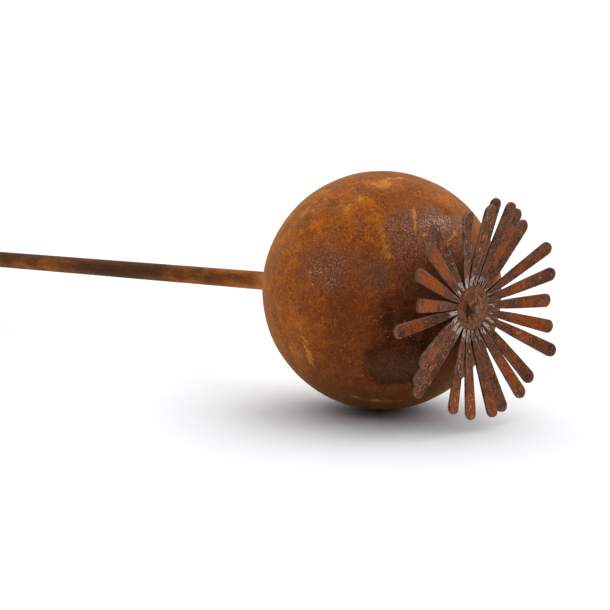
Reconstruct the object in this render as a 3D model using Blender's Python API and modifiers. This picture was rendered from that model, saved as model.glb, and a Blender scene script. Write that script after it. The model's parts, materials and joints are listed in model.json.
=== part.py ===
"""Garden ornament in rusted mild steel, in the form of a poppy seed head on its stalk.

A hollow ball is the seed capsule, a round bar is the stalk, and a crown of 25 rays cut from sheet
is the cap on top of the capsule. The ornament lies on a flat surface: the ball rests on a small
flat spot, and the far end of the bar touches the surface.

Frame: +Z up, the surface at z = 0, the origin at the middle of the ball's rest spot. The bar runs
off to -X and the crown faces +X. Units are metres.
"""
import math

import bmesh
import bpy
from mathutils import Matrix, Vector

MM = 0.001

# Driving dimensions
BALL_RADIUS = 60 * MM
BALL_WALL = 2 * MM
REST_SPOT_RADIUS = 6 * MM
STAKE_RADIUS = 5 * MM
STAKE_LENGTH = 1000 * MM
STAKE_DEPTH_IN_BALL = 15 * MM
CROWN_THICKNESS = 1.2 * MM
HUB_RADIUS = 11 * MM
CROWN_RADIUS = 54 * MM
RAY_COUNT = 25
GAP = 0.3 * MM

# The crown was welded on a little out of line, and hangs below the line of the bar by this angle.
CROWN_DROOP = math.radians(4.5)

# The rays lie at an even pitch, clockwise as seen from outside the crown, from this angle past the top.
FIRST_RAY_ANGLE = math.radians(-23.6)
# Each ray was bent forward and a little sideways by hand, by its own angles in degrees.
RAY_LIFTS = (17, 20, 10, 11, 3, -1, 13, 10, 4, 10, 22, 12, 16,
             15, 20, 15, 16, 1, 8, 18, 2, 18, 12, 11, 5)
RAY_SWINGS = (4, 5.5, 3, 0, -2, -5.5, -5.5, -2, 0, -0.5, -1.5, 3.5, 1,
              2.5, -0.5, -1.5, 0.5, 5, -1, -3.5, -1, 0.5, 2.5, 3.5, -0.5)

# Outline of one ray: distance from the hub's middle and half the width there.
RAY_ROOT_HALF_WIDTH = 1.17 * MM
RAY_STATIONS = ((12.3 * MM, 1.33 * MM), (13.7 * MM, 1.49 * MM), (15 * MM, 1.66 * MM),
                (30 * MM, 2.6 * MM), (50.65 * MM, 3.35 * MM))
RAY_BEND_STEPS = 3
RAY_END_ARC_STEPS = 4

# Weld in the middle of the hub: a domed plug in the hub's hole, a little up and to the right in it.
HUB_HOLE_RADIUS = 6 * MM
PLUG_RADIUS = 5.2 * MM
PLUG_HEIGHT = 2.6 * MM
PLUG_OFFSET = 0.3 * MM
# Weld round the bar where it enters the ball.
BEAD_LEG = 4 * MM
BEAD_LIP = 0.3 * MM

# Facets
BALL_SEGMENTS = 48
BALL_RINGS = 24
STAKE_SEGMENTS = 24
WELD_SEGMENTS = 24
MERGE = 0.00001

# Worked out from the above
BALL_CENTRE_Z = math.sqrt(BALL_RADIUS ** 2 - REST_SPOT_RADIUS ** 2)
STAKE_HOLE_RADIUS = STAKE_RADIUS + GAP
STAKE_NEAR_END = BALL_RADIUS - STAKE_DEPTH_IN_BALL
STAKE_FAR_END = STAKE_NEAR_END + STAKE_LENGTH
STAKE_FLAT = STAKE_RADIUS * math.cos(math.pi / STAKE_SEGMENTS)
# The bar slopes down until the lowest facet of its far end lies on the surface.
STAKE_TILT = (math.asin(BALL_CENTRE_Z / math.hypot(STAKE_FAR_END, STAKE_FLAT))
              - math.atan2(STAKE_FLAT, STAKE_FAR_END))
CROWN_TILT = STAKE_TILT - CROWN_DROOP


def clear_scene():
    for old in list(bpy.data.objects):
        bpy.data.objects.remove(old, do_unlink=True)


def new_collection(name):
    collection = bpy.data.collections.new(name)
    bpy.context.scene.collection.children.link(collection)
    return collection


def rusted_steel(name, colour, roughness):
    """Steel under a coat of rust: the oxide hides the metal, so the shine is low and broken."""
    material = bpy.data.materials.new(name)
    material.use_nodes = True
    shader = material.node_tree.nodes["Principled BSDF"]
    shader.inputs["Base Color"].default_value = (*colour, 1)
    shader.inputs["Metallic"].default_value = 0.3
    shader.inputs["Roughness"].default_value = roughness
    material.diffuse_color = (*colour, 1)
    return material


def new_object(name, bm, collection, material=None):
    mesh = bpy.data.meshes.new(name)
    bm.to_mesh(mesh)
    bm.free()
    if material:
        mesh.materials.append(material)
    made = bpy.data.objects.new(name, mesh)
    collection.objects.link(made)
    return made


def shade_round(made, angle=math.radians(30)):
    made.data.shade_smooth()
    made.data.set_sharp_from_angle(angle=angle)


def turned(name, profile, closed, segments, collection, material):
    """Turn a profile of (radius, height) points about the object's own Z axis."""
    bm = bmesh.new()
    points = [bm.verts.new((radius, 0, height)) for radius, height in profile]
    for one, other in zip(points, points[1:]):
        bm.edges.new((one, other))
    if closed:
        bm.edges.new((points[-1], points[0]))
    made = new_object(name, bm, collection, material)
    screw = made.modifiers.new("Screw", "SCREW")
    screw.axis = "Z"
    screw.steps = segments
    screw.render_steps = segments
    screw.use_merge_vertices = True
    screw.merge_threshold = MERGE
    screw.use_smooth_shade = True
    return made


def along_stake():
    """Stands at the ball's centre with +Z down the bar and +X upwards."""
    return Matrix.Translation((0, 0, BALL_CENTRE_Z)) @ Matrix.Rotation(-math.pi / 2 - STAKE_TILT, 4, "Y")


def along_crown():
    """Stands behind the hub with +Z out of the crown's face and +X upwards."""
    facing = Matrix.Rotation(math.pi / 2 - CROWN_TILT, 4, "Y") @ Matrix.Rotation(math.pi, 4, "Z")
    back_of_hub = Matrix.Translation((0, 0, BALL_RADIUS + GAP))
    return Matrix.Translation((0, 0, BALL_CENTRE_Z)) @ facing @ back_of_hub


def make_ball(collection, cutters, material):
    """Hollow pressed-steel ball: one shell with a round hole for the bar and a flat spot below."""
    rim = math.asin(STAKE_HOLE_RADIUS / (BALL_RADIUS - BALL_WALL))
    profile = []
    for ring in range(BALL_RINGS + 1):
        polar = rim + (math.pi - rim) * ring / BALL_RINGS
        profile.append((BALL_RADIUS * math.sin(polar), BALL_RADIUS * math.cos(polar)))
    profile[-1] = (0, -BALL_RADIUS)
    ball = turned("ball", profile, False, BALL_SEGMENTS, collection, material)
    ball.matrix_world = along_stake()
    wall = ball.modifiers.new("Wall", "SOLIDIFY")
    wall.thickness = BALL_WALL
    wall.offset = -1
    side = 4 * REST_SPOT_RADIUS
    bm = bmesh.new()
    bmesh.ops.create_cube(bm, size=side)
    below = new_object("below_surface", bm, cutters)
    below.location = (0, 0, -side / 2)
    below.hide_render = True
    below.display_type = "WIRE"
    flat = ball.modifiers.new("Rest spot", "BOOLEAN")
    flat.operation = "DIFFERENCE"
    flat.solver = "EXACT"
    flat.object = below
    return ball


def make_stake(collection, material):
    """Straight round bar, sawn off square at both ends, with a facet turned down to the surface."""
    bm = bmesh.new()
    place = (along_stake() @ Matrix.Translation((0, 0, (STAKE_NEAR_END + STAKE_FAR_END) / 2))
             @ Matrix.Rotation(math.pi / STAKE_SEGMENTS, 4, "Z"))
    bmesh.ops.create_cone(bm, cap_ends=True, segments=STAKE_SEGMENTS, radius1=STAKE_RADIUS,
                          radius2=STAKE_RADIUS, depth=STAKE_LENGTH)
    stake = new_object("stake", bm, collection, material)
    stake.matrix_world = place
    shade_round(stake)
    return stake


def make_stake_weld(collection, material):
    """Fillet bead round the bar, on the ball: a curved triangle turned about the bar."""
    seat = BALL_RADIUS + GAP
    inner = STAKE_HOLE_RADIUS
    outer = inner + BEAD_LEG
    inner_foot = math.sqrt(seat ** 2 - inner ** 2)
    outer_foot = math.sqrt(seat ** 2 - outer ** 2)
    profile = [(inner, inner_foot + BEAD_LEG), (inner + BEAD_LIP, inner_foot + BEAD_LEG)]
    middle = Vector(((inner + outer) / 2 + 0.4 * MM, (inner_foot + BEAD_LEG + outer_foot) / 2))
    profile.append(tuple(middle))
    profile += [(outer, outer_foot + BEAD_LIP), (outer, outer_foot), (inner, inner_foot)]
    bead = turned("stake_weld", profile, True, WELD_SEGMENTS, collection, material)
    bead.matrix_world = along_stake()
    return bead


def ray_stations():
    """Outline of a ray past its root, with the round end as steps of an arc down to a point."""
    stations = list(RAY_STATIONS)
    end_centre, end_radius = stations[-1]
    for step in range(1, RAY_END_ARC_STEPS):
        angle = math.pi / 2 * step / RAY_END_ARC_STEPS
        stations.append((end_centre + end_radius * math.sin(angle), end_radius * math.cos(angle)))
    stations.append((CROWN_RADIUS, 0))
    return stations


def ray_angle(ray):
    """Angle of a ray in the crown's own plane, from +X, where clockwise is downwards."""
    return -FIRST_RAY_ANGLE - 2 * math.pi * ray / RAY_COUNT


def grow_ray(bm, edge, angle, lift, swing):
    """Draw one ray out of its stretch of the hub's edge, bending it over its first steps."""
    middle = (edge.verts[0].co + edge.verts[1].co) / 2
    reached = HUB_RADIUS
    across = Matrix.Rotation(angle, 3, "Z") @ Vector((0, 1, 0))
    for step, (distance, half_width) in enumerate(ray_stations()):
        bent = min(1, (step + 1) / RAY_BEND_STEPS)
        turn = Matrix.Rotation(angle + bent * swing, 3, "Z") @ Matrix.Rotation(-bent * lift, 3, "Y")
        drawn = bmesh.ops.extrude_edge_only(bm, edges=[edge])["geom"]
        edge = next(part for part in drawn if isinstance(part, bmesh.types.BMEdge))
        sides = [math.copysign(1, (corner.co - middle).dot(across)) for corner in edge.verts]
        middle = middle + turn @ Vector((distance - reached, 0, 0))
        reached = distance
        for corner, side in zip(edge.verts, sides):
            corner.co = middle + turn @ Vector((0, side * half_width, 0))


def make_crown(collection, material):
    """Crown cut from one sheet: a hub with a hole, and the rays bent up from its edge."""
    bm = bmesh.new()
    rim = bmesh.ops.create_circle(bm, segments=2 * RAY_COUNT, radius=HUB_RADIUS)["verts"]
    half_root = math.asin(RAY_ROOT_HALF_WIDTH / HUB_RADIUS)
    for index, corner in enumerate(rim):
        ray, side = divmod(index, 2)
        angle = ray_angle(ray) + (half_root, -half_root)[side]
        corner.co = (HUB_RADIUS * math.cos(angle), HUB_RADIUS * math.sin(angle), 0)
    hub = bmesh.ops.extrude_edge_only(bm, edges=bm.edges[:])["geom"]
    for corner in (part for part in hub if isinstance(part, bmesh.types.BMVert)):
        corner.co *= HUB_HOLE_RADIUS / HUB_RADIUS
    for ray, (lift, swing) in enumerate(zip(RAY_LIFTS, RAY_SWINGS)):
        root = bm.edges.get((rim[2 * ray], rim[2 * ray + 1]))
        grow_ray(bm, root, ray_angle(ray), math.radians(lift), -math.radians(swing))
    bmesh.ops.remove_doubles(bm, verts=bm.verts, dist=MERGE)
    bmesh.ops.recalc_face_normals(bm, faces=bm.faces)
    if sum(face.normal.z for face in bm.faces) < 0:
        bmesh.ops.reverse_faces(bm, faces=bm.faces)
    crown = new_object("crown", bm, collection, material)
    crown.matrix_world = along_crown()
    sheet = crown.modifiers.new("Sheet", "SOLIDIFY")
    sheet.thickness = CROWN_THICKNESS
    sheet.offset = 1
    sheet.use_even_offset = True
    return crown


def make_crown_weld(collection, material):
    """Plug weld that holds the crown: it fills the hub's hole down to the ball and stands out domed."""
    top = CROWN_THICKNESS + PLUG_HEIGHT
    profile = [(0, top)]
    for share, drop in ((0.4, 0.04), (0.7, 0.22), (0.9, 0.5), (1, 0.82)):
        profile.append((share * PLUG_RADIUS, top - drop * PLUG_HEIGHT))
    profile += [(PLUG_RADIUS, 0), (0, 0)]
    weld = turned("crown_weld", profile, False, WELD_SEGMENTS, collection, material)
    weld.matrix_world = along_crown() @ Matrix.Translation((PLUG_OFFSET, -PLUG_OFFSET, 0))
    return weld


def main():
    clear_scene()
    ornament = new_collection("poppy_seed_head_stake")
    cutters = new_collection("cutters")
    orange_rust = rusted_steel("orange rust", (0.27, 0.088, 0.02), 0.75)
    bar_rust = rusted_steel("brown rust", (0.16, 0.048, 0.019), 0.8)
    dark_rust = rusted_steel("dark rust", (0.105, 0.044, 0.028), 0.7)
    make_ball(ornament, cutters, orange_rust)
    make_stake(ornament, bar_rust)
    make_stake_weld(ornament, bar_rust)
    make_crown(ornament, dark_rust)
    make_crown_weld(ornament, dark_rust)


main()
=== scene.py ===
"""Garden ornament in rusted mild steel: a poppy seed head on its stalk, lying on a pale studio floor.

A hollow ball is the seed capsule, a round bar is the stalk, and a crown of 25 rays cut from sheet
is the cap. The ball rests on the floor, and the bar slopes down from it, away from the crown.
"""
import json
import math

import bmesh
import bpy
from mathutils import Matrix, Vector


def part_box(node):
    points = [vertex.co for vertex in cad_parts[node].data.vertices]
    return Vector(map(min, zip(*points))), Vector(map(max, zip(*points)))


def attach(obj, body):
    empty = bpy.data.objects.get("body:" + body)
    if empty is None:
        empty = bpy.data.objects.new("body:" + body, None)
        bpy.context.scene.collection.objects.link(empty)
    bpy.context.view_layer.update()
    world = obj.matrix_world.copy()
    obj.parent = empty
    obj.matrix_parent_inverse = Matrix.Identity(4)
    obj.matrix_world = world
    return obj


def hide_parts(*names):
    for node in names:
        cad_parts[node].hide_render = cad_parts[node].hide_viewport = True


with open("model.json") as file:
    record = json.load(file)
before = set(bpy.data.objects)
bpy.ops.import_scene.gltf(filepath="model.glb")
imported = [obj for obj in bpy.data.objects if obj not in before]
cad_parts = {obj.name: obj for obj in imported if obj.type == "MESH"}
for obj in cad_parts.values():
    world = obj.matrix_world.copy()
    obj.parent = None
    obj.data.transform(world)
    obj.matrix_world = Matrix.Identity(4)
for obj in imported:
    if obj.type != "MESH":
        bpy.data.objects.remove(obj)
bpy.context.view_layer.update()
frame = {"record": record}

# The studio
# A white floor under white surroundings. One big soft light stands behind the ornament on the right,
# one hangs over it, a weaker one stands on the left, and the camera looks down on the crown a little.


def linear(hex_code):
    """Turn an sRGB hex colour into the linear colour that shaders and lights take."""
    colour = []
    for place in (1, 3, 5):
        share = int(hex_code[place:place + 2], 16) / 255
        colour.append(share / 12.92 if share <= 0.04045 else ((share + 0.055) / 1.055) ** 2.4)
    return (*colour, 1)


def add_node(material, kind, inputs=(), stops=(), **settings):
    """Add a shader node: its settings, the colours of a scale, and for each input a value or its feed."""
    made = material.node_tree.nodes.new("ShaderNode" + kind)
    for name, value in settings.items():
        setattr(made, name, value)
    for number, (position, hex_code) in enumerate(stops):
        points = made.color_ramp.elements
        point = points[number] if number < 2 else points.new(position)
        point.position = position
        point.color = linear(hex_code)
    for name, value in dict(inputs).items():
        if isinstance(value, bpy.types.NodeSocket):
            material.node_tree.links.new(value, made.inputs[name])
        else:
            made.inputs[name].default_value = value
    return made


def new_material(name):
    """Start a material with nothing in it but its shader."""
    material = bpy.data.materials.new(name)
    material.use_nodes = True
    return material, material.node_tree.nodes["Principled BSDF"]


def soft_sun(name, towards, power, spread):
    """Shine one even light over the whole floor, from a direction and as soft as its spread."""
    lamp = bpy.data.lights.new(name, "SUN")
    lamp.energy = power
    lamp.angle = math.radians(spread)
    light = bpy.data.objects.new(name, lamp)
    light.rotation_euler = Vector(towards).to_track_quat("Z", "Y").to_euler()
    bpy.context.scene.collection.objects.link(light)


CAMERA_PLACE = (0.652, -0.6502, 0.1975)
CAMERA_TURN = (math.radians(81.03), 0, math.radians(47.47))
SENSOR_WIDTH = 36
# The photograph is 610 pixels wide, and its focal length comes to 1859 of them.
FOCAL_LENGTH = 1859 / 610 * SENSOR_WIDTH

lens = bpy.data.cameras.new("camera")
lens.sensor_width = SENSOR_WIDTH
lens.lens = FOCAL_LENGTH
camera = bpy.data.objects.new("camera", lens)
camera.location = CAMERA_PLACE
camera.rotation_euler = CAMERA_TURN
bpy.context.scene.collection.objects.link(camera)
bpy.context.scene.camera = camera
bpy.context.scene.view_settings.view_transform = "Standard"

FLOOR_WIDTH = 24
bpy.ops.mesh.primitive_plane_add(size=FLOOR_WIDTH, location=(0, 0, 0))
floor = bpy.context.object
floor.name = "floor"
floor_paint, floor_shader = new_material("white studio floor")
floor_shader.inputs["Base Color"].default_value = linear("#F0F3F5")
floor_shader.inputs["Roughness"].default_value = 0.9
floor.data.materials.append(floor_paint)

soft_sun("light behind on the right", (0.28, 0.625, 0.725), 1.76, 85)
soft_sun("light on the left", (-0.5, -0.25, 0.83), 0.58, 90)
soft_sun("light overhead", (-0.1, 0.1, 1), 1.45, 110)

# The room gives white light from behind the ornament and less from the camera's side, which darkens
# its front. To look at, it is white all round, so that every view has a white background.
AWAY_FROM_CAMERA = (-0.737, 0.676, 0)
WHITE_SIDE = 1.1
DIM_SIDE = 0.12
world = bpy.data.worlds.new("white room")
world.use_nodes = True
world.node_tree.nodes["Background"].inputs["Color"].default_value = (1, 1, 1, 1)
bpy.context.scene.world = world
facing = add_node(world, "TexCoord").outputs["Generated"]
away = add_node(world, "VectorMath", {0: facing, 1: AWAY_FROM_CAMERA}, operation="DOT_PRODUCT")
brightness = add_node(world, "MapRange", {"Value": away.outputs["Value"], "From Min": 0.3, "From Max": 0.92,
                                          "To Min": DIM_SIDE, "To Max": WHITE_SIDE},
                      interpolation_type="SMOOTHSTEP")
looked_at = add_node(world, "LightPath").outputs["Is Camera Ray"]
brightness = add_node(world, "Math", {0: looked_at, 1: brightness.outputs["Result"]},
                      operation="MAXIMUM").outputs[0]
world.node_tree.links.new(brightness, world.node_tree.nodes["Background"].inputs["Strength"])

# The ball
# The seed capsule: a hollow ball of mild steel, pressed in halves from 2 mm sheet, welded and
# ground round. It has one hole for the bar, and rests on a small flat spot. Rusted all over.
MM = 0.001
BALL_RADIUS = 60 * MM
BALL_WALL = 2 * MM
REST_SPOT_RADIUS = 6 * MM
BALL_SEGMENTS = 256
BALL_RINGS = 138
DENT_SIZE = 25 * MM
DENT_DEPTH = 0.5 * MM
SMOOTH_BELOW = math.radians(40)
# The hole for the bar is four rings wide, 5.46 mm in radius.
HOLE_RINGS = 4

stake_end = next(mount for mount in frame["record"]["mounts"] if mount["name"] == "stake_end")
down_the_bar = Vector(stake_end["axis"]).normalized()
bar_turn = down_the_bar.to_track_quat("Z", "X").to_euler()
ball_centre = Vector((0, 0, math.sqrt(BALL_RADIUS ** 2 - REST_SPOT_RADIUS ** 2)))


def choose(piece):
    """Make one piece the active one, with nothing else selected."""
    bpy.ops.object.select_all(action="DESELECT")
    piece.select_set(True)
    bpy.context.view_layer.objects.active = piece


def edit(piece):
    """Open one piece for editing."""
    choose(piece)
    bpy.ops.object.mode_set(mode="EDIT")


def close():
    """Leave the editing of the open piece, which stays the chosen one."""
    bpy.ops.object.mode_set(mode="OBJECT")


def pick(kind, wanted):
    """Select just those vertices, edges or faces of the open piece that wanted() says yes to."""
    bpy.ops.mesh.select_mode(type=kind)
    bpy.ops.mesh.select_all(action="DESELECT")
    mesh = bpy.context.object.data
    form = bmesh.from_edit_mesh(mesh)
    for part in {"VERT": form.verts, "EDGE": form.edges, "FACE": form.faces}[kind]:
        if wanted(part):
            part.select_set(True)
    bmesh.update_edit_mesh(mesh)


def apply_place(piece):
    """Put a piece's place and turn into its mesh, so that its object sits at the origin, unturned."""
    choose(piece)
    bpy.ops.object.transform_apply(location=True, rotation=True, scale=True)


def finish_with(piece, kind, **settings):
    """Add a modifier to a piece and apply it."""
    choose(piece)
    modifier = piece.modifiers.new(kind.title(), kind)
    for name, value in settings.items():
        setattr(modifier, name, value)
    bpy.ops.object.modifier_apply(modifier=modifier.name)


def dent(piece, size, depth, middle=1.0, group=""):
    """Press shallow dents of about one size into a piece. Middle 1 presses inwards only."""
    hollows = bpy.data.textures.new("dents", "CLOUDS")
    hollows.noise_scale = size
    hollows.noise_depth = 1
    finish_with(piece, "DISPLACE", texture=hollows, texture_coords="LOCAL", strength=depth,
                mid_level=middle, vertex_group=group)


bpy.ops.mesh.primitive_uv_sphere_add(segments=BALL_SEGMENTS, ring_count=BALL_RINGS, radius=BALL_RADIUS,
                                     location=ball_centre, rotation=bar_turn)
ball = bpy.context.object
ball.name = "rusted_ball"
apply_place(ball)
edit(ball)
hole_angle = math.pi * HOLE_RINGS / BALL_RINGS
pick("FACE", lambda face: (face.calc_center_median() - ball_centre).angle(down_the_bar) < hole_angle)
bpy.ops.mesh.delete(type="FACE")
bpy.ops.mesh.select_all(action="SELECT")
bpy.ops.mesh.bisect(plane_co=(0, 0, 0), plane_no=(0, 0, 1), use_fill=True, clear_inner=True)
close()
finish_with(ball, "SOLIDIFY", thickness=BALL_WALL, offset=-1)
dent(ball, DENT_SIZE, DENT_DEPTH)
bpy.ops.object.shade_smooth_by_angle(angle=SMOOTH_BELOW)
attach(ball, "root")
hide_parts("ball")

# Mild steel left outdoors until it rusted all over: dull, orange to brown, with a fine grain of lighter
# and darker specks, and purple-brown patches where the hard scale from the mill still shines a little.
ball_rust, ball_shader = new_material("mild steel, rusted outdoors over mill scale")
place = add_node(ball_rust, "TexCoord").outputs["Object"]

# Patch edges are ragged, because the place that they are measured at is moved about a little: for
# streaks and spots by a fine pattern, and for larger patches by a broad one as well.
SMALL_WANDER = 3 * MM
BIG_WANDER = 6 * MM
moved_places = []
spot = place
for grain, detail, wander in ((2.6 * MM, 2, SMALL_WANDER), (16 * MM, 1, BIG_WANDER)):
    waves = add_node(ball_rust, "TexNoise", {"Vector": place, "Scale": 1 / grain, "Detail": detail})
    spot = add_node(ball_rust, "VectorMath", {0: waves.outputs["Color"], 1: (wander,) * 3, 2: spot},
                    operation="MULTIPLY_ADD").outputs[0]
    spot = add_node(ball_rust, "VectorMath", {0: spot, 1: (wander / 2,) * 3},
                    operation="SUBTRACT").outputs[0]
    moved_places.append(spot)
moved_little, moved_much = moved_places

# A patch with half a width or height below this, in mm, is a streak or spot. One with an edge harder
# than this is squarish.
SMALL_PATCH = 6
HARD_EDGE = 0.5
# How far the edge of the softest patch reaches in and out, as shares of the patch's half width.
FADES_INSIDE = 0.75
FADES_OUTSIDE = 0.4


def on_ball(azimuth, elevation, turn=0):
    """A point of the ball's surface, and the turn that puts X eastwards, Y upwards and Z outwards there."""
    azimuth, elevation = math.radians(azimuth), math.radians(elevation)
    outwards = Vector((math.cos(elevation) * math.cos(azimuth), math.cos(elevation) * math.sin(azimuth),
                       math.sin(elevation)))
    east = Vector((-math.sin(azimuth), math.cos(azimuth), 0))
    frame_there = Matrix((east, outwards.cross(east), outwards)).transposed()
    return (ball_centre + BALL_RADIUS * outwards,
            (frame_there @ Matrix.Rotation(math.radians(turn), 3, "Z")).to_euler())


def ball_patch(azimuth, elevation, half_width, half_height, turn, softness):
    """A patch of the ball's surface with ragged edges: 1 inside and 0 outside. A hard one is squarish."""
    middle, facing = on_ball(azimuth, elevation, turn)
    moved = moved_much if half_width > SMALL_PATCH and half_height > SMALL_PATCH else moved_little
    there = add_node(ball_rust, "Mapping", {"Vector": moved, "Location": middle, "Rotation": facing,
                                            "Scale": (half_width * MM, half_height * MM, BALL_RADIUS)},
                     vector_type="TEXTURE").outputs[0]
    if softness < HARD_EDGE:
        there = add_node(ball_rust, "VectorMath", {0: there, 1: there}, operation="MULTIPLY").outputs[0]
    reach = add_node(ball_rust, "VectorMath", {0: there}, operation="LENGTH").outputs["Value"]
    return add_node(ball_rust, "MapRange", {"Value": reach, "From Min": 1 - softness * FADES_INSIDE,
                                            "From Max": 1 + softness * FADES_OUTSIDE, "To Min": 1,
                                            "To Max": 0},
                    interpolation_type="SMOOTHSTEP").outputs["Result"]


def all_patches(patches):
    """Several patches of the ball as one: the strongest of them at each place."""
    together = 0
    for *patch_place, strength in patches:
        patch = add_node(ball_rust, "Math", {0: ball_patch(*patch_place), 1: strength},
                         operation="MULTIPLY").outputs[0]
        together = add_node(ball_rust, "Math", {0: patch, 1: together}, operation="MAXIMUM").outputs[0]
    return together


# Azimuth and elevation from the ball's middle in degrees, half width and half height in mm, turn in
# degrees, softness of the edge, and how much lighter or darker the ball is painted there. Most rows are
# rust, but some paint light: the row at elevation -88 is painted shade on the bottom near the floor, the
# rows at (-55, -8) and (-8, -20) are partly darker rust and partly painted shade on the front and under
# the crown, and the lighter rows at (-96, 20) and (14, 54) are painted sheen on the left and upper right
# limbs.
RUST_AND_LIGHT_PATCHES = (
    (-47, 78, 42, 26, 0, 0.9, -0.04),
    (-46, 68, 11, 8, 0, 0.6, 0.12),
    (-68, 54, 8, 7, 0, 0.9, 0.08),
    (-42, 45, 12, 16, 0, 0.8, 0.02),
    (-43, 31, 3.2, 14, 0, 0.9, 0.13),
    (-96, 20, 24, 40, 0, 0.9, 0.1),
    (-96, -32, 5, 16, -12, 0.9, 0.1),
    (-47, -56, 15, 2.5, -8, 0.9, 0.13),
    (-55, -8, 26, 27, 0, 0.9, -0.07),
    (-64, -25, 11, 7, 0, 0.8, -0.05),
    (-92, 38, 12, 10, 0, 0.9, -0.09),
    (14, 54, 10, 9, 0, 0.9, 0.09),
    (-47, -88, 46, 46, 0, 0.9, -0.24),
    (180, -4, 20, 18, 0, 0.9, -0.14),
    (110, 25, 26, 20, 20, 0.9, 0.09),
    (75, -15, 20, 26, 0, 0.9, -0.12),
    (-140, 8, 14, 30, 10, 0.9, -0.08),
    (-8, -20, 22, 42, 0, 0.8, -0.2),
    (-60, -45, 30, 18, 0, 0.9, -0.10),
)

# The patterns, each with its place, grain, detail and roughness. Those that are measured upright are a
# little taller than wide. Real specks of rust are 0.2 mm or less, and are drawn coarser here, because a
# pixel of the picture is 0.5 mm.
upright = add_node(ball_rust, "Mapping", {"Vector": place, "Scale": (1, 1, 0.8)}).outputs[0]
broad, middling, specks, clouds, blooms, grains, pits, wrinkles = (
    add_node(ball_rust, "TexNoise", {"Vector": where, "Scale": 1 / grain, "Detail": detail,
                                     "Roughness": roughness}).outputs["Fac"]
    for where, grain, detail, roughness in (
        (place, 30 * MM, 2, 0.5), (place, 4.5 * MM, 4, 0.65), (upright, 0.65 * MM, 3, 0.75),
        (place, 7 * MM, 5, 0.7), (upright, 9 * MM, 7, 0.8), (place, 1.1 * MM, 1, 0.5),
        (upright, 1.8 * MM, 2, 0.5), (upright, 0.9 * MM, 3, 0.6)))
# The middle tone of the rust, and how much each pattern moves it up or down.
RUST_TONE = 0.55
BROAD_SHARE, MIDDLING_SHARE, SPECK_SHARE = 0.3, 0.35, 0.95
tone = RUST_TONE - (BROAD_SHARE + MIDDLING_SHARE + SPECK_SHARE) / 2
for pattern, share in ((broad, BROAD_SHARE), (middling, MIDDLING_SHARE), (specks, SPECK_SHARE)):
    tone = add_node(ball_rust, "Math", {0: pattern, 1: share, 2: tone},
                    operation="MULTIPLY_ADD").outputs[0]
# Low in front of the crown the ball is darker, down to a clear edge: partly darker rust and partly
# painted shade of the crown.
DARK_RUST_AND_SHADE_CHANGE = -0.33
dark_rust_and_crown_shade = all_patches(((-32, -5, 17, 17, 0, 0.7, 0.9), (-33, -17, 16, 13, 0, 0.7, 1),
                         (-36, -29, 17.5, 12.5, 0, 0.48, 0.95)))
changes = [(ball_patch(*patch_place), change) for *patch_place, change in RUST_AND_LIGHT_PATCHES]
for patch, change in (*changes, (dark_rust_and_crown_shade, DARK_RUST_AND_SHADE_CHANGE)):
    tone = add_node(ball_rust, "Math", {0: patch, 1: change, 2: tone}, operation="MULTIPLY_ADD").outputs[0]
rust = add_node(ball_rust, "ValToRGB", {"Fac": tone},
                stops=((0, "#1E0E08"), (0.2, "#421E0D"), (0.4, "#6C3110"), (0.55, "#8E4718"),
                       (0.7, "#AD5E24"), (0.85, "#C67B38"), (1, "#DC9C52"))).outputs["Color"]

# Redder clouds, ragged blooms of fresh orange, small bright grains and small dark pits.
bloom_zone = all_patches(((-88, 42, 44, 34, 0, 0.6, 1), (-41, 30, 7, 20, 0, 0.8, 0.9),
                          (-112, 0, 20, 40, 0, 0.9, 0.7), (-10, 62, 30, 12, 0, 0.8, 0.5),
                          (-57, 14, 7, 7, 0, 0.8, 0.5), (140, 38, 36, 22, 0, 0.8, 0.9),
                          (70, 20, 14, 24, 0, 0.8, 0.8)))
# Inside, blooms and drifts are broken up by the specks.
SPECK_BREAK = 0.34
broken_blooms = add_node(ball_rust, "Math", {0: specks, 1: SPECK_BREAK, 2: blooms},
                         operation="MULTIPLY_ADD").outputs[0]
# How much denser blooms and grains are within their zone.
BLOOM_SPREAD = 0.09
GRAIN_SPREAD = 0.06
bloomed, grainy = (add_node(ball_rust, "Math", {0: bloom_zone, 1: spread, 2: pattern},
                            operation="MULTIPLY_ADD").outputs[0]
                   for pattern, spread in ((broken_blooms, BLOOM_SPREAD), (grains, GRAIN_SPREAD)))
for pattern, start, full, strength, hex_code in ((clouds, 0.47, 0.6, 0.5, "#6E3420"),
                                                 (bloomed, 0.775, 0.845, 0.75, "#C0620E"),
                                                 (grainy, 0.69, 0.76, 0.6, "#D4801F"),
                                                 (pits, 0.62, 0.72, 0.45, "#3E2014")):
    spots = add_node(ball_rust, "MapRange", {"Value": pattern, "From Min": start, "From Max": full,
                                             "To Max": strength}, interpolation_type="SMOOTHSTEP")
    rust = add_node(ball_rust, "Mix", {0: spots.outputs["Result"], 6: rust, 7: linear(hex_code)},
                    data_type="RGBA").outputs[2]

# Two places in front, near the crown, are greyer.
grey_mask = all_patches(((-46.5, 15, 7.5, 9, 0, 0.8, 0.6), (-38, -30, 15, 9, 0, 0.9, 0.4)))
grey_rust = add_node(ball_rust, "ValToRGB", {"Fac": specks},
                     stops=((0.32, "#40241A"), (0.66, "#7E5A46"))).outputs["Color"]
rust = add_node(ball_rust, "Mix", {0: grey_mask, 6: rust, 7: grey_rust}, data_type="RGBA").outputs[2]

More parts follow.
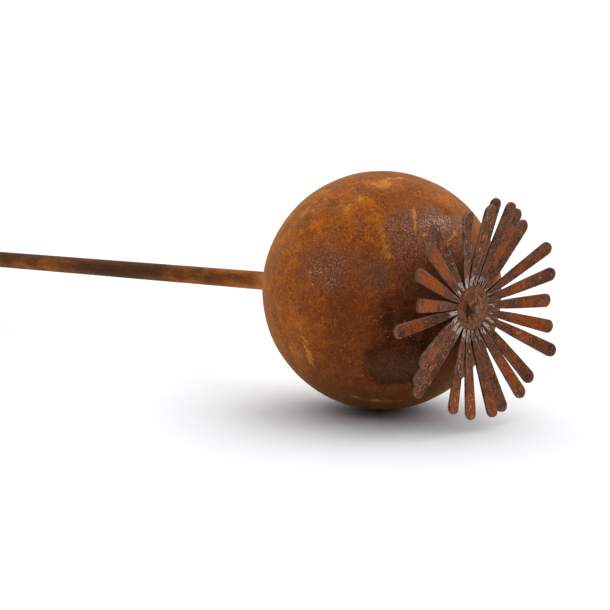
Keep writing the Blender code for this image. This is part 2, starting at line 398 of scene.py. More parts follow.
# Pale golden dust lies in ragged drifts on the top and in a few streaks lower down.
DRIFT_SPREAD = 0.14
MOST_DUST = 0.75
drift_zone = all_patches(((-47, 68, 6.5, 5, 0, 0.8, 1), (-30, 74, 14, 2.5, 10, 0.9, 0.8),
                          (-66, 54, 3, 9, -30, 0.9, 0.55), (-105, 52, 12, 9, 0, 0.9, 0.4),
                          (-42.5, 31, 3.2, 11, 0, 0.9, 0.7), (-85.6, -22, 2.6, 13, 2, 0.9, 0.8),
                          (-101, -33, 2.2, 13, -14, 0.9, 0.8), (128, 52, 12, 6, 20, 0.9, 0.8),
                          (95, 8, 4, 14, 10, 0.9, 0.7), (-150, 30, 5, 12, -15, 0.9, 0.7),
                          (-53, -28.4, 4.2, 2.8, -12, 0.9, 0.8), (-49, -55, 14, 1.8, -8, 0.9, 0.9)))
drifts = add_node(ball_rust, "Math", {0: drift_zone, 1: DRIFT_SPREAD, 2: broken_blooms},
                  operation="MULTIPLY_ADD").outputs[0]
drifts = add_node(ball_rust, "MapRange", {"Value": drifts, "From Min": 0.755, "From Max": 0.815,
                                          "To Max": 2}, interpolation_type="SMOOTHSTEP").outputs["Result"]
for operation, other in (("MULTIPLY", drift_zone), ("MINIMUM", MOST_DUST)):
    drifts = add_node(ball_rust, "Math", {0: drifts, 1: other}, operation=operation).outputs[0]
golden = add_node(ball_rust, "ValToRGB", {"Fac": specks},
                  stops=((0.35, "#A8661F"), (0.6, "#D4923E"))).outputs["Color"]
rust = add_node(ball_rust, "Mix", {0: drifts, 6: rust, 7: golden}, data_type="RGBA").outputs[2]

# Purple-brown scale, in two places in front and, as a guess, three behind. Pale flecks painted on it
# stand for highlights where its small wrinkles catch the light.
scale_mask = all_patches(((-15, 27, 23.6, 23, 0, 0.2, 1), (-72, 19, 18, 14, 0, 0.8, 0.8),
                          (152, 22, 19, 13, 12, 0.5, 0.8), (85, -18, 12, 17, -8, 0.5, 0.8),
                          (-146, -22, 13, 11, 0, 0.8, 0.7)))
bitten_out = ball_patch(5, 48, 5.5, 6.5, 0, 0.5)
scale_mask = add_node(ball_rust, "Math", {0: scale_mask, 1: bitten_out}, operation="SUBTRACT",
                      use_clamp=True).outputs[0]
scale = add_node(ball_rust, "ValToRGB", {"Fac": wrinkles},
                 stops=((0.3, "#4A2516"), (0.48, "#784129"), (0.6, "#925739"),
                        (0.75, "#AE7654"))).outputs["Color"]
# Behind and below the crown the scale is drawn as rust, darkened as painted shade of the crown.
crown_shade_zone = all_patches(((-16, 8, 26, 20, 0, 0.8, 0.75),))
rust_in_painted_shade = add_node(ball_rust, "Mix", {0: 1, 6: rust, 7: linear("#A89484")}, data_type="RGBA",
                       blend_type="MULTIPLY").outputs[2]
scale = add_node(ball_rust, "Mix", {0: crown_shade_zone, 6: scale, 7: rust_in_painted_shade}, data_type="RGBA").outputs[2]
coat = add_node(ball_rust, "Mix", {0: scale_mask, 6: rust, 7: scale}, data_type="RGBA").outputs[2]

# The painted highlight flecks lie densely in the middle of the upper scale, where the light catches it,
# and thinly elsewhere on it.
SCALE_GLINT_SPREAD = 0.2
scale_glint_zone = all_patches(((-11, 39.5, 14, 7, 0, 0.9, 0.85), (-24, 33, 17, 15, 0, 0.7, 0.44),
                          (6, 34, 8, 9, 0, 0.8, 0.5), (-71, 16, 13, 14, 0, 0.9, 0.52),
                          (154, 25, 13, 9, 12, 0.9, 0.6), (86, -12, 8, 11, -8, 0.9, 0.5)))
strokes = add_node(ball_rust, "Mapping", {"Vector": place, "Scale": (1, 1, 0.6)})
strokes = add_node(ball_rust, "TexNoise", {"Vector": strokes.outputs[0], "Scale": 1 / (0.5 * MM),
                                           "Detail": 2, "Distortion": 0.3}).outputs["Fac"]
strokes = add_node(ball_rust, "Math", {0: scale_glint_zone, 1: SCALE_GLINT_SPREAD, 2: strokes},
                   operation="MULTIPLY_ADD").outputs[0]
painted_scale_glints = add_node(ball_rust, "MapRange", {"Value": strokes, "From Min": 0.72, "From Max": 0.8,
                                          "To Max": 0.9}, interpolation_type="SMOOTHSTEP").outputs["Result"]
painted_scale_glints = add_node(ball_rust, "Math", {0: painted_scale_glints, 1: scale_mask}, operation="MULTIPLY").outputs[0]

# Scratches and runs of fresh orange rust over the scale.
scratch_mask = all_patches(((-23.8, 45.5, 1.1, 4.2, -13, 0.8, 0.85), (-25.2, 39.5, 0.8, 4, -13, 0.8, 0.7),
                            (-4.6, 31.6, 5, 0.45, 23, 0.8, 1), (-8.6, 28.2, 1.8, 0.4, 28, 0.8, 0.9),
                            (-0.5, 33.6, 1.6, 1.2, 40, 0.8, 0.7), (-21.3, 34, 1.5, 1, 10, 0.8, 0.75),
                            (-81, 15.1, 1, 0.5, 20, 0.8, 1), (-74.8, 15.6, 1.1, 0.5, -20, 0.8, 1),
                            (-79, 9.5, 0.5, 0.6, 0, 0.8, 0.9)))
fresh = add_node(ball_rust, "ValToRGB", {"Fac": specks},
                 stops=((0.35, "#A8591F"), (0.5, "#CB7D30"), (0.65, "#E8B060"))).outputs["Color"]
# The painted highlight flecks and the fresh rust of the scratches go over the coat.
for share, colour in ((painted_scale_glints, linear("#D8C0B2")), (scratch_mask, fresh)):
    coat = add_node(ball_rust, "Mix", {0: share, 6: coat, 7: colour}, data_type="RGBA").outputs[2]

# Rust is dull and scale is a little glossy. Both are rough to the touch, like fine sandpaper.
dullness = add_node(ball_rust, "MapRange", {"Value": scale_mask, "To Min": 0.85, "To Max": 0.5})
grit = add_node(ball_rust, "Bump", {"Height": wrinkles, "Strength": 0.5, "Distance": 0.15 * MM})
ball_shader.inputs["Specular IOR Level"].default_value = 0.08
ball_shader.inputs["Sheen Weight"].default_value = 0.26
ball_shader.inputs["Sheen Tint"].default_value = linear("#E8C480")
for output, name in ((coat, "Base Color"), (dullness.outputs["Result"], "Roughness"),
                     (grit.outputs["Normal"], "Normal")):
    ball_rust.node_tree.links.new(output, ball_shader.inputs[name])
ball.data.materials.clear()
ball.data.materials.append(ball_rust)

# The bar
# The stalk: a metre of 10 mm round bar, sawn off square at both ends, with the burr filed off. It
# goes through the ball's hole, and its far end touches the floor.
BAR_LENGTH = 1000 * MM
BAR_SIDES = 48
BAR_CUTS = 240
BAR_BURR = 0.4 * MM
BAR_END_RING = 1.5 * MM
BAR_DENT_SIZE = 12 * MM
BAR_DENT_DEPTH = 0.12 * MM

bar_low, bar_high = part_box("stake")
bar_radius = (bar_high.y - bar_low.y) / 2
bar_middle = Vector(stake_end["pos_m"]) - down_the_bar * BAR_LENGTH / 2
bpy.ops.mesh.primitive_cylinder_add(vertices=BAR_SIDES, radius=bar_radius, depth=BAR_LENGTH,
                                    location=bar_middle, rotation=bar_turn)
bar = bpy.context.object
bar.name = "rusted_bar"
apply_place(bar)
edit(bar)
pick("FACE", lambda face: abs(face.normal.dot(down_the_bar)) > 0.9)
bpy.ops.mesh.inset(thickness=BAR_END_RING)
pick("EDGE", lambda edge: edge.calc_face_angle(0) > math.radians(60))
bpy.ops.mesh.bevel(offset=BAR_BURR, segments=3, affect="EDGES")
pick("EDGE", lambda edge: edge.calc_length() > BAR_LENGTH / 2)
bpy.ops.mesh.subdivide(number_cuts=BAR_CUTS)
close()
dent(bar, BAR_DENT_SIZE, BAR_DENT_DEPTH)
bpy.ops.object.shade_smooth_by_angle(angle=SMOOTH_BELOW)
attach(bar, "root")
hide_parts("stake")

# Drawn bar, rusted smoother and browner than the ball: cloudy along its length, with a fine grain.
bar_rust, bar_shader = new_material("drawn mild steel bar, rusted brown")
bar_spot = add_node(bar_rust, "TexCoord").outputs["Object"]
lengthways = add_node(bar_rust, "Mapping", {"Vector": bar_spot, "Scale": (0.3, 1, 1)}).outputs[0]
bar_clouds = add_node(bar_rust, "TexNoise", {"Vector": lengthways, "Scale": 1 / (11 * MM), "Detail": 4,
                                             "Roughness": 0.6}).outputs["Fac"]
bar_grain = add_node(bar_rust, "TexNoise", {"Vector": lengthways, "Scale": 1 / (0.7 * MM), "Detail": 3,
                                            "Roughness": 0.7}).outputs["Fac"]
# The end at the ball caught more rain, and is more orange.
along_bar = add_node(bar_rust, "SeparateXYZ", {0: bar_spot}).outputs["X"]
fresher = add_node(bar_rust, "MapRange", {"Value": along_bar, "From Min": -190 * MM, "From Max": -70 * MM,
                                          "To Max": 0.3}).outputs["Result"]
GRAIN_SHARE = 0.34
bar_tone = add_node(bar_rust, "Math", {0: bar_grain, 1: GRAIN_SHARE, 2: -GRAIN_SHARE / 2},
                    operation="MULTIPLY_ADD").outputs[0]
for more in (bar_clouds, fresher):
    bar_tone = add_node(bar_rust, "Math", {0: bar_tone, 1: more}, operation="ADD").outputs[0]
bar_coat = add_node(bar_rust, "ValToRGB", {"Fac": bar_tone},
                    stops=((0.3, "#402510"), (0.45, "#4E2D12"), (0.55, "#603614"),
                           (0.72, "#9A5419"), (0.88, "#C67834"))).outputs["Color"]
bar_grit = add_node(bar_rust, "Bump", {"Height": bar_grain, "Strength": 0.3, "Distance": 0.1 * MM})
bar_shader.inputs["Roughness"].default_value = 0.7
bar_shader.inputs["Specular IOR Level"].default_value = 0.1
bar_rust.node_tree.links.new(bar_coat, bar_shader.inputs["Base Color"])
bar_rust.node_tree.links.new(bar_grit.outputs["Normal"], bar_shader.inputs["Normal"])
bar.data.materials.clear()
bar.data.materials.append(bar_rust)

# The weld round the bar
# One pass of weld round the bar where it enters the ball, with the ripples that the puddle left.
# Corners closer together than this are one.
TINY = 0.01 * MM
BEAD_LEG = 4 * MM
BEAD_INNER = 5.3 * MM
BEAD_SEAT = 60.3 * MM
BEAD_SUNK = 0.5 * MM
BEAD_SIDES = 14
RIPPLES = 22
RIPPLE_STEPS = 6
RIPPLE_SWELL = 1.14

bead_place = ball_centre + down_the_bar * BEAD_SEAT
ring_radius = BEAD_INNER + BEAD_LEG / 2
ring_height = BEAD_LEG / 2 - BEAD_SUNK
bpy.ops.mesh.primitive_circle_add(vertices=BEAD_SIDES, radius=BEAD_LEG / 2, fill_type="NOTHING",
                                  location=(ring_radius, 0, ring_height), rotation=(math.pi / 2, 0, 0))
bead = bpy.context.object
bead.name = "bar_weld"
apply_place(bead)
edit(bead)
bpy.ops.mesh.select_all(action="SELECT")
bpy.ops.mesh.spin(steps=RIPPLES * RIPPLE_STEPS, angle=2 * math.pi, center=(0, 0, 0), axis=(0, 0, 1))
bpy.ops.mesh.select_all(action="SELECT")
bpy.ops.mesh.remove_doubles(threshold=TINY)
bpy.ops.mesh.normals_make_consistent(inside=False)
# The puddle moved on step by step, which left rings across the bead.
for ripple in range(RIPPLES):
    towards = 2 * math.pi * ripple / RIPPLES
    ring_middle = Vector((ring_radius * math.cos(towards), ring_radius * math.sin(towards), ring_height))
    pick("VERT", lambda corner: (corner.co - ring_middle).length < BEAD_LEG * 0.6
         and abs(math.remainder(math.atan2(corner.co.y, corner.co.x) - towards, 2 * math.pi))
         < math.pi / RIPPLES / RIPPLE_STEPS)
    bpy.ops.transform.resize(value=(RIPPLE_SWELL,) * 3, center_override=ring_middle)
close()
bead.rotation_euler = bar_turn
bead.location = bead_place
apply_place(bead)
bpy.ops.object.shade_smooth()
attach(bead, "root")
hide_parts("stake_weld")

# Weld metal is rusted to the sheet's brown, with a few pale painted highlights, and painted shade in its
# hollows.
weld_rust, weld_shader = new_material("steel weld, rusted, with painted shade in its hollows")
weld_spot = add_node(weld_rust, "TexCoord").outputs["Object"]
weld_clouds = add_node(weld_rust, "TexNoise", {"Vector": weld_spot, "Scale": 1 / (1.8 * MM), "Detail": 5,
                                               "Roughness": 0.7}).outputs["Fac"]
weld_coat = add_node(weld_rust, "ValToRGB", {"Fac": weld_clouds},
                     stops=((0.36, "#3A1E12"), (0.46, "#633720"), (0.54, "#804C30"), (0.6, "#8C5834"),
                            (0.68, "#A68068"))).outputs["Color"]
# The thin rim is browner, the tops of lumps carry pale painted highlights as glints, and the hollows are
# painted dark as shade.
WELD_GLINT_SPREAD = 0.12
HOLLOW_SHADE_SHARE = 0.88
at_rim, on_lump, hollow_shade = (add_node(weld_rust, "Attribute", attribute_name=name).outputs["Fac"]
                              for name in ("rim", "lump", "hollow"))
at_rim = add_node(weld_rust, "Math", {0: at_rim, 1: weld_clouds}, operation="MULTIPLY").outputs[0]
hollow_shade = add_node(weld_rust, "Math", {0: hollow_shade, 1: HOLLOW_SHADE_SHARE}, operation="MULTIPLY").outputs[0]
painted_glints = add_node(weld_rust, "TexNoise", {"Vector": weld_spot, "Scale": 1 / (0.8 * MM), "Detail": 3,
                                          "Roughness": 0.6}).outputs["Fac"]
painted_glints = add_node(weld_rust, "Math", {0: on_lump, 1: WELD_GLINT_SPREAD, 2: painted_glints},
                  operation="MULTIPLY_ADD").outputs[0]
painted_glints = add_node(weld_rust, "MapRange", {"Value": painted_glints, "From Min": 0.62, "From Max": 0.76,
                                          "To Max": 0.5}, interpolation_type="SMOOTHSTEP").outputs["Result"]
for share, hex_code in ((at_rim, "#84502E"), (painted_glints, "#B49A8A"), (hollow_shade, "#2A170D")):
    weld_coat = add_node(weld_rust, "Mix", {0: share, 6: weld_coat, 7: linear(hex_code)},
                         data_type="RGBA").outputs[2]
weld_grit = add_node(weld_rust, "Bump", {"Height": weld_clouds, "Strength": 0.7, "Distance": 0.3 * MM})
weld_shader.inputs["Roughness"].default_value = 0.65
weld_shader.inputs["Specular IOR Level"].default_value = 0.2
weld_rust.node_tree.links.new(weld_coat, weld_shader.inputs["Base Color"])
weld_rust.node_tree.links.new(weld_grit.outputs["Normal"], weld_shader.inputs["Normal"])
bead.data.materials.clear()
bead.data.materials.append(weld_rust)

# The crown
# The cap: one disc of 1.2 mm sheet, cut into 25 round-ended rays that meet in a hub with a hole.
# Each ray was bent forward, and a little sideways, by hand.
CROWN_THICKNESS = 1.2 * MM
HUB_RADIUS = 11 * MM
HUB_HOLE_RADIUS = 6 * MM
RAY_COUNT = 25
CROWN_GAP = 0.3 * MM
CROWN_DROOP = math.radians(4.5)
FIRST_RAY_ANGLE = math.radians(-23.6)
RAY_LIFTS = (17, 20, 10, 11, 3, -1, 13, 10, 4, 10, 22, 12, 16,
             15, 20, 15, 16, 1, 8, 18, 2, 18, 12, 11, 5)
RAY_SWINGS = (4, 5.5, 3, 0, -2, -5.5, -5.5, -2, 0, -0.5, -1.5, 3.5, 1,
              2.5, -0.5, -1.5, 0.5, 5, -1, -3.5, -1, 0.5, 2.5, 3.5, -0.5)
RAY_ROOT_HALF_WIDTH = 0.95 * MM
RAY_COLUMNS = 6
# Distance from the hub's middle and half the ray's width there. The first three are the bends.
RAY_STATIONS = ((11, 0.95), (12.3, 1.12), (13.7, 1.3), (15, 1.48), (20, 1.92), (25, 2.3), (30, 2.6),
                (35, 2.78), (40, 2.96), (45.3, 3.15), (50.65, 3.35))
RAY_END_STEPS = 6
RAY_BENDS = 3
EDGE_ROUNDING = 0.18 * MM

# For each ray, how much fresh orange rust it carries, how far out in mm that is strongest, and how
# much of its skin is worn pale, which also sets how strong the painted highlight along its edge is.
RAY_RUST = ((0.35, 28, 1), (0.5, 33, 1), (0.25, 40, 0.6), (0.3, 40, 0.5), (0.6, 32, 0.6),
            (0.4, 40, 0.5), (0.45, 36, 0.3), (0.5, 32, 0.3), (0.7, 42, 0.4), (0.9, 38, 0.45),
            (0.7, 33, 0.7), (0.6, 35, 0.6), (0.75, 38, 0.7), (0.4, 40, 0.5), (0.65, 48, 0.5),
            (0.7, 47, 0.9), (0.65, 46, 0.9), (0.6, 45, 1), (0.5, 36, 0.9), (0.55, 42, 0.8),
            (0.65, 42, 0.8), (0.9, 42, 0.25), (1, 38, 0.35), (0.95, 36, 0.6), (0.35, 42, 0.8))

half_root = math.asin(RAY_ROOT_HALF_WIDTH / HUB_RADIUS)
half_pitch = math.pi / RAY_COUNT

# One ray is modelled flat along X with its slice of the hub, and copied for the others.
hub_width = HUB_RADIUS - HUB_HOLE_RADIUS
bpy.ops.mesh.primitive_plane_add(size=hub_width,
                                 location=(HUB_HOLE_RADIUS + hub_width / 2, hub_width / 2, 0))
ray = bpy.context.object
ray.name = "ray"
apply_place(ray)
edit(ray)
pick("VERT", lambda corner: corner.co.y > hub_width / 2)
bpy.ops.mesh.delete(type="VERT")
bpy.ops.mesh.select_all(action="SELECT")
bpy.ops.mesh.subdivide(number_cuts=3)
close()
ray.rotation_euler = (0, 0, half_pitch)
apply_place(ray)
edit(ray)
bpy.ops.mesh.select_all(action="SELECT")
half_slot = half_pitch - half_root
for steps, angle in ((1, half_slot), (RAY_COLUMNS, 2 * half_root), (1, half_slot)):
    bpy.ops.mesh.spin(steps=steps, angle=angle, center=(0, 0, 0), axis=(0, 0, 1))
# The outer edge between the slots grows out into the ray, station by station.
root_flat = HUB_RADIUS * math.cos(half_root)
pick("EDGE", lambda edge: min(corner.co.length for corner in edge.verts) > HUB_RADIUS - 0.1 * MM
     and abs(math.atan2(*(edge.verts[0].co + edge.verts[1].co).yx)) < half_root)
outline = []
for distance, half_width in RAY_STATIONS:
    outline.append((root_flat + distance * MM - HUB_RADIUS, half_width * MM))
end_middle, end_radius = outline[-1]
for step in range(1, RAY_END_STEPS):
    angle = math.pi / 2 * step / RAY_END_STEPS
    outline.append((end_middle + end_radius * math.sin(angle), end_radius * math.cos(angle)))
outline.append((end_middle + end_radius, 0))
for (reached, half), (ahead, next_half) in zip(outline, outline[1:]):
    bpy.ops.mesh.extrude_region_move(TRANSFORM_OT_translate={"value": (ahead - reached, 0, 0)})
    bpy.ops.transform.resize(value=(0 if reached == root_flat else 1, next_half / half, 1),
                             center_override=(ahead, 0, 0))
bpy.ops.mesh.select_all(action="SELECT")
bpy.ops.mesh.remove_doubles(threshold=TINY)
pick("FACE", lambda face: face.normal.z < 0)
bpy.ops.mesh.flip_normals()
close()


# Measures are kept on the sheet for its finish: how far out a place lies, how far across, and how far
# from an edge.
def distance_from_edge(spot):
    """How far a place on the flat ray lies inside its outline."""
    if spot.x > end_middle:
        return max(0, end_radius - math.hypot(spot.x - end_middle, spot.y))
    for (reached, half), (ahead, next_half) in zip(outline, outline[1:]):
        if reached <= spot.x <= ahead:
            share = (spot.x - reached) / (ahead - reached)
            return max(0, half + share * (next_half - half) - abs(spot.y))
    return RAY_ROOT_HALF_WIDTH


along = ray.data.attributes.new("along_ray", "FLOAT", "POINT")
across = ray.data.attributes.new("across_ray", "FLOAT", "POINT")
inside = ray.data.attributes.new("from_edge", "FLOAT", "POINT")
for corner, out, aside, edge in zip(ray.data.vertices, along.data, across.data, inside.data):
    out.value = corner.co.length
    aside.value = corner.co.y
    edge.value = distance_from_edge(corner.co)


def bend_ray(piece, lift, swing):
    """Bend a flat ray up and sideways by a third of its angles at each of its three bends."""
    edit(piece)
    hinges = [Vector((place, 0, 0)) for place, half in outline[:RAY_BENDS]]
    beyond = []
    for hinge in hinges:
        beyond.append({corner.index for corner in piece.data.vertices if corner.co.x > hinge.x + TINY})
    for axis, turn in (("Y", lift / RAY_BENDS), ("Z", swing / RAY_BENDS)):
        for number in reversed(range(RAY_BENDS)):
            pick("VERT", lambda corner: corner.index in beyond[number])
            bpy.ops.transform.rotate(value=turn, orient_axis=axis, orient_type="GLOBAL",
                                     center_override=hinges[number])
            for later in range(number + 1, RAY_BENDS):
                turned = Matrix.Rotation(-turn, 4, axis)
                hinges[later] = hinges[number] + turned @ (hinges[later] - hinges[number])
    close()


rays = []
for number, (lift, swing) in enumerate(zip(RAY_LIFTS, RAY_SWINGS)):
    choose(ray)
    bpy.ops.object.duplicate(linked=False)
    bent = bpy.context.object
    bend_ray(bent, math.radians(lift), math.radians(swing))
    for name, value in zip(("ray_number", "orange_share", "orange_middle", "wear_and_highlight_share"),
                           (number, *RAY_RUST[number])):
        share = bent.data.attributes.new(name, "FLOAT", "POINT")
        for spot in share.data:
            spot.value = value
    bent.rotation_euler = (0, 0, -FIRST_RAY_ANGLE - 2 * math.pi * number / RAY_COUNT)
    apply_place(bent)
    rays.append(bent)
bpy.data.objects.remove(ray, do_unlink=True)
for bent in rays:
    bent.select_set(True)
bpy.context.view_layer.objects.active = rays[0]
bpy.ops.object.join()
crown = bpy.context.object
crown.name = "rusted_crown"
edit(crown)
bpy.ops.mesh.select_all(action="SELECT")
bpy.ops.mesh.remove_doubles(threshold=2 * TINY)
close()
finish_with(crown, "SOLIDIFY", thickness=CROWN_THICKNESS, offset=1, use_even_offset=True)
finish_with(crown, "BEVEL", width=EDGE_ROUNDING, segments=2, limit_method="ANGLE",
            angle_limit=math.radians(50))

# It is welded to the ball with the hub just clear of it, facing along the bar's line but drooping.
crown_slope = math.asin(-down_the_bar.z) - CROWN_DROOP
crown_place = (Matrix.Translation(ball_centre) @ Matrix.Rotation(math.pi / 2 - crown_slope, 4, "Y")
               @ Matrix.Rotation(math.pi, 4, "Z") @ Matrix.Translation((0, 0, BALL_RADIUS + CROWN_GAP)))
crown.matrix_world = crown_place
apply_place(crown)
bpy.ops.object.shade_smooth_by_angle(angle=SMOOTH_BELOW)
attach(crown, "root")
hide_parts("crown")

# The same steel as the ball, cut by plasma from sheet: chocolate brown and dull, with fresh orange
# patches on the rays, a dark cut edge with painted shade in the slots between the roots, a pale painted
# highlight just inside the edge, and pale worn skin where the rays were bent.
crown_rust, crown_shader = new_material("mild steel sheet, plasma cut and rusted")
crown_spot = add_node(crown_rust, "TexCoord").outputs["Object"]
along_ray, across_ray, from_edge, ray_number, orange_share, orange_middle, wear_and_highlight_share = (
    add_node(crown_rust, "Attribute", attribute_name=name).outputs["Fac"]
    for name in ("along_ray", "across_ray", "from_edge", "ray_number", "orange_share", "orange_middle",
                 "wear_and_highlight_share"))

# The patterns, each with its grain, detail and roughness.
skin, cloudy, dusty, ragged = (
    add_node(crown_rust, "TexNoise", {"Vector": crown_spot, "Scale": 1 / grain, "Detail": detail,
                                      "Roughness": roughness}).outputs["Fac"]
    for grain, detail, roughness in ((0.9 * MM, 4, 0.75), (8 * MM, 3, 0.6), (5 * MM, 6, 0.75),
                                     (4.5 * MM, 6, 0.6)))
# How dark the brown starts, and how much each pattern lightens it.
DARKEST, SKIN_SHARE, CLOUDY_SHARE = -0.51, 1.5, 0.5
chocolate = DARKEST
for pattern, share in ((skin, SKIN_SHARE), (cloudy, CLOUDY_SHARE)):
    chocolate = add_node(crown_rust, "Math", {0: pattern, 1: share, 2: chocolate},
                         operation="MULTIPLY_ADD").outputs[0]
crown_coat = add_node(crown_rust, "ValToRGB", {"Fac": chocolate},
                      stops=((0.25, "#2E190E"), (0.42, "#4E2B1A"), (0.55, "#673C27"),
                             (0.72, "#86573D"))).outputs["Color"]

# Rusty dust over everything.
dust = add_node(crown_rust, "MapRange", {"Value": dusty, "From Min": 0.48, "From Max": 0.62,
                                         "To Max": 0.5}, interpolation_type="SMOOTHSTEP").outputs["Result"]
crown_coat = add_node(crown_rust, "Mix", {0: dust, 6: crown_coat, 7: linear("#80471F")},
                      data_type="RGBA").outputs[2]

# Patches of fresh orange, with ragged edges, that are strongest at each ray's own distance from the hub.
# The reach is the distance from the hub's middle, in mm.
RAGGED_SHARE = 2.2
reach = add_node(crown_rust, "Math", {0: along_ray, 1: 1 / MM}, operation="MULTIPLY").outputs[0]
off_middle = add_node(crown_rust, "Math", {0: reach, 1: orange_middle}, operation="SUBTRACT").outputs[0]
off_middle = add_node(crown_rust, "Math", {0: off_middle}, operation="ABSOLUTE").outputs[0]
near_middle = add_node(crown_rust, "MapRange", {"Value": off_middle, "From Min": 2, "From Max": 24,
                                                "To Min": 1, "To Max": 0},
                       interpolation_type="SMOOTHSTEP").outputs["Result"]
orange = add_node(crown_rust, "Math", {0: near_middle, 1: orange_share}, operation="MULTIPLY").outputs[0]
orange = add_node(crown_rust, "Math", {0: ragged, 1: RAGGED_SHARE, 2: orange},
                  operation="MULTIPLY_ADD").outputs[0]
orange = add_node(crown_rust, "MapRange", {"Value": orange, "From Min": 1.5, "From Max": 1.8,
                                           "To Max": 0.9}, interpolation_type="SMOOTHSTEP").outputs["Result"]
inner = add_node(crown_rust, "MapRange", {"Value": from_edge, "From Min": 0.1 * MM,
                                          "From Max": 0.7 * MM},
                 interpolation_type="SMOOTHSTEP").outputs["Result"]
orange = add_node(crown_rust, "Math", {0: orange, 1: inner}, operation="MULTIPLY").outputs[0]
fresh_orange = add_node(crown_rust, "ValToRGB", {"Fac": skin},
                        stops=((0.3, "#5C280A"), (0.5, "#8E420C"), (0.7, "#BE6416"))).outputs["Color"]

# Shares that rise or fall with a measure: the measure, where that starts and ends, and the share at each.
hub_clear, on_face, edge_highlight, broken, at_tip, hub_rim, dark_edge_and_slot_shade, slot_shade = (
    add_node(crown_rust, "MapRange", {"Value": measure, "From Min": start, "From Max": end,
                                      "To Min": at_start, "To Max": at_end}).outputs["Result"]
    for measure, start, end, at_start, at_end in (
        (reach, 10.7, 11.2, 0, 1), (from_edge, 0.04 * MM, 0.12 * MM, 0, 1),
        (from_edge, 0.15 * MM, 0.6 * MM, 0.9, 0), (ragged, 0.4, 0.52, 0, 1),
        (reach, 51.5, 54, 0, 0.25), (reach, 10.6, 11.2, 0.35, 0),
        (from_edge, 0.02 * MM, 0.1 * MM, 1, 0), (reach, 16, 30, 0.95, 0.3)))

# Pale worn flakes along the rays, dense at the roots where they were bent, thin further out, and on the
# faces alone. Along a ray they are drawn out to three times their width, and no two rays have the same.
STROKE_STRETCH = 0.3
RAY_APART = 7 * MM
WORN_EVERYWHERE = 0.46
WORN_SPREAD = 0.19
along_strokes = add_node(crown_rust, "Math", {0: along_ray, 1: STROKE_STRETCH},
                         operation="MULTIPLY").outputs[0]
own_pattern = add_node(crown_rust, "Math", {0: ray_number, 1: RAY_APART}, operation="MULTIPLY").outputs[0]
ray_spot = add_node(crown_rust, "CombineXYZ", {0: along_strokes, 1: across_ray, 2: own_pattern}).outputs[0]
chips = add_node(crown_rust, "TexNoise", {"Vector": ray_spot, "Scale": 1 / (0.9 * MM), "Detail": 4,
                                          "Roughness": 0.65}).outputs["Fac"]
roots = add_node(crown_rust, "MapRange", {"Value": reach, "From Min": 13.5, "From Max": 19.5, "To Min": 1,
                                          "To Max": 0}, interpolation_type="SMOOTHSTEP").outputs["Result"]
# At the roots all rays are worn much alike, but further out some are worn far more than others.
root_share = add_node(crown_rust, "Math", {0: wear_and_highlight_share}, operation="SQRT").outputs[0]
for other in (hub_clear, root_share):
    roots = add_node(crown_rust, "Math", {0: roots, 1: other}, operation="MULTIPLY").outputs[0]
most_worn = add_node(crown_rust, "Math", {0: wear_and_highlight_share, 1: wear_and_highlight_share}, operation="MULTIPLY").outputs[0]
worn = add_node(crown_rust, "Math", {0: most_worn, 1: WORN_EVERYWHERE, 2: roots},
                operation="MULTIPLY_ADD").outputs[0]
worn = add_node(crown_rust, "Math", {0: worn, 1: WORN_SPREAD, 2: chips},
                operation="MULTIPLY_ADD").outputs[0]
worn = add_node(crown_rust, "MapRange", {"Value": worn, "From Min": 0.67, "From Max": 0.76,
                                         "To Max": 0.85}, interpolation_type="SMOOTHSTEP").outputs["Result"]
worn = add_node(crown_rust, "Math", {0: worn, 1: on_face}, operation="MULTIPLY").outputs[0]
pale = add_node(crown_rust, "ValToRGB", {"Fac": skin},
                stops=((0.35, "#98806F"), (0.6, "#DACDC4"))).outputs["Color"]
for share, colour in ((orange, fresh_orange), (worn, pale)):
    crown_coat = add_node(crown_rust, "Mix", {0: share, 6: crown_coat, 7: colour},
                          data_type="RGBA").outputs[2]

# The cut edge is dark, and darker near the roots, where painted shade fills the slots between them.
# Just inside the edge a pale band is a painted highlight, strongest on the rays with the most worn skin
# and broken up by a ragged pattern, and the tips are greyer.
for other in (wear_and_highlight_share, broken):
    edge_highlight = add_node(crown_rust, "Math", {0: edge_highlight, 1: other}, operation="MULTIPLY").outputs[0]
edge_highlight_and_grey_tips = add_node(crown_rust, "Math", {0: edge_highlight, 1: at_tip}, operation="MAXIMUM").outputs[0]
dark_edge_and_slot_shade = add_node(crown_rust, "Math", {0: dark_edge_and_slot_shade, 1: slot_shade}, operation="MULTIPLY").outputs[0]
for share, hex_code in ((edge_highlight_and_grey_tips, "#946F5C"), (hub_rim, "#7E4522"), (dark_edge_and_slot_shade, "#24120A")):
    crown_coat = add_node(crown_rust, "Mix", {0: share, 6: crown_coat, 7: linear(hex_code)},
                          data_type="RGBA").outputs[2]

crown_grit = add_node(crown_rust, "Bump", {"Height": skin, "Strength": 0.5, "Distance": 0.15 * MM})
crown_shader.inputs["Roughness"].default_value = 0.75
crown_shader.inputs["Specular IOR Level"].default_value = 0.2
crown_rust.node_tree.links.new(crown_coat, crown_shader.inputs["Base Color"])
crown_rust.node_tree.links.new(crown_grit.outputs["Normal"], crown_shader.inputs["Normal"])
crown.data.materials.clear()
crown.data.materials.append(crown_rust)

# The weld in the hub
# The plug of weld that fills the hub's hole down to the ball and holds the crown. It was run in one
# spot and spread over the hole's rim: a lump on the right, and a dark hollow on the left.
PLUG_RADIUS = 5 * MM
PLUG_SPREAD = 10.2 * MM
PLUG_HEIGHT = 1.6 * MM
PLUG_FOOT = 1.3 * MM
PLUG_CUT = 0.3 * MM
PLUG_SEGMENTS = 128
PLUG_RINGS = 96
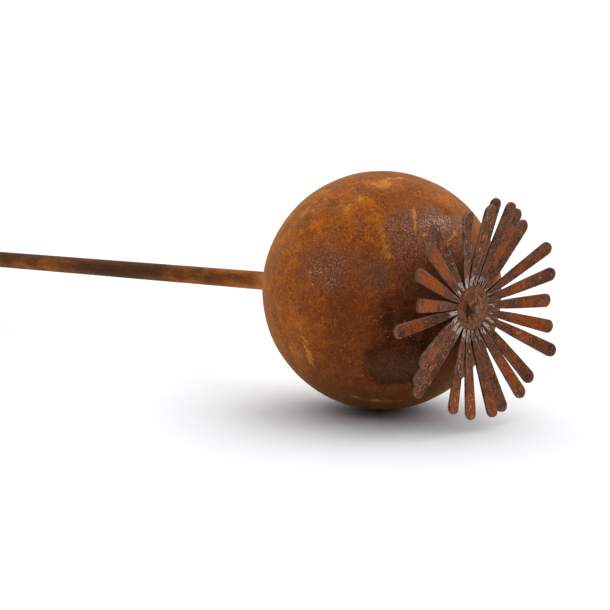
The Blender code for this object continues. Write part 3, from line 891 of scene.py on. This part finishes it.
# Hollows and lumps, in mm: place up and to the left of the middle, radius, height, and how far round it
# the metal gives way.
PLUG_SHAPES = ((1.6, 5.2, 0.5, -0.9, 1.4), (0, 5.6, 0.9, -1.3, 1.7), (-1.9, 5.7, 1.0, -1.4, 1.8),
               (-3.9, 5.5, 0.9, -1.2, 1.7), (-5.8, 5.0, 0.6, -0.9, 1.4), (-0.6, 3.2, 0.9, -0.8, 1.6),
               (-2.6, 2.6, 0.8, -0.7, 1.6), (1.8, 1.6, 0.6, -0.5, 1.4), (0.2, 0.2, 1.0, 0.8, 1.6),
               (-2.2, -0.8, 1.0, 0.6, 1.6), (3.4, 4.0, 0.8, 0.8, 1.4), (4.4, 1.2, 0.9, 0.8, 1.5),
               (3.4, -2.2, 0.9, 0.8, 1.5), (0.4, -3.8, 0.9, 0.6, 1.6), (-3.2, -3.2, 0.9, 0.6, 1.6),
               (-5.6, 0.4, 0.8, 0.6, 1.6))
# From this distance outwards the weld thins to a share of its height, and gives way a little inwards.
PLUG_THIN = 8.2 * MM
THIN_SHARE = 0.35
THIN_EASE = 3.5 * MM
WELD_DENT_SIZE = 1.5 * MM
WELD_DENT_DEPTH = 0.9 * MM

bpy.ops.mesh.primitive_uv_sphere_add(segments=PLUG_SEGMENTS, ring_count=PLUG_RINGS, radius=PLUG_SPREAD,
                                     location=(0, 0, 0))
plug = bpy.context.object
plug.name = "crown_weld_plug"
edit(plug)
bpy.ops.mesh.select_all(action="SELECT")
bpy.ops.transform.resize(value=(1, 1, PLUG_HEIGHT / PLUG_SPREAD), center_override=(0, 0, 0))
# The lower half goes down the hole as a straight foot, flat below.
pick("VERT", lambda corner: corner.co.z < -TINY)
foot_share = PLUG_RADIUS / PLUG_SPREAD
bpy.ops.transform.resize(value=(foot_share, foot_share, 1), center_override=(0, 0, 0))
pick("VERT", lambda corner: corner.co.z < -PLUG_CUT)
bpy.ops.transform.resize(value=(1, 1, 0), center_override=(0, 0, -PLUG_CUT))
bpy.ops.transform.translate(value=(0, 0, PLUG_CUT - PLUG_FOOT))
pick("VERT", lambda corner: corner.co.z > 0 and corner.co.xy.length > PLUG_THIN)
bpy.ops.transform.resize(value=(1, 1, THIN_SHARE), center_override=(0, 0, 0), use_proportional_edit=True,
                         use_proportional_connected=True, proportional_edit_falloff="SMOOTH",
                         proportional_size=THIN_EASE)
close()
heights_before = [corner.co.z for corner in plug.data.vertices]
edit(plug)


def push(middle, radius, depth, gives_way):
    """Push the plug's upper side up or down round one place, easing off over a distance."""
    pick("VERT", lambda corner: corner.co.z > 0 and (corner.co.xy - middle).length < radius)
    bpy.ops.transform.translate(value=(0, 0, depth), use_proportional_edit=True,
                                use_proportional_connected=True, proportional_edit_falloff="SMOOTH",
                                proportional_size=gives_way)


for up, left, radius, height, gives_way in PLUG_SHAPES:
    push(Vector((up * MM, left * MM)), radius * MM, height * MM, gives_way * MM)
close()
# How much of a hollow, a lump or the rim a place is. Each starts at one height or distance from the
# middle and is full at the next, in mm.
risen = [corner.co.z - before for corner, before in zip(plug.data.vertices, heights_before)]
far_out = [corner.co.xy.length for corner in plug.data.vertices]
for name, measures, start, full in (("hollow", risen, -0.3, -0.9), ("lump", risen, 0.1, 0.6),
                                    ("rim", far_out, 6.5, 9.5)):
    share = plug.data.attributes.new(name, "FLOAT", "POINT")
    for spot, measure in zip(share.data, measures):
        spot.value = min(1, max(0, (measure / MM - start) / (full - start)))
dent(plug, WELD_DENT_SIZE, WELD_DENT_DEPTH, 0.5)
plug.matrix_world = crown_place @ Matrix.Translation((0, 0, PLUG_FOOT))
apply_place(plug)
bpy.ops.object.shade_smooth()
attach(plug, "root")
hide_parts("crown_weld")
plug.data.materials.clear()
plug.data.materials.append(weld_rust)
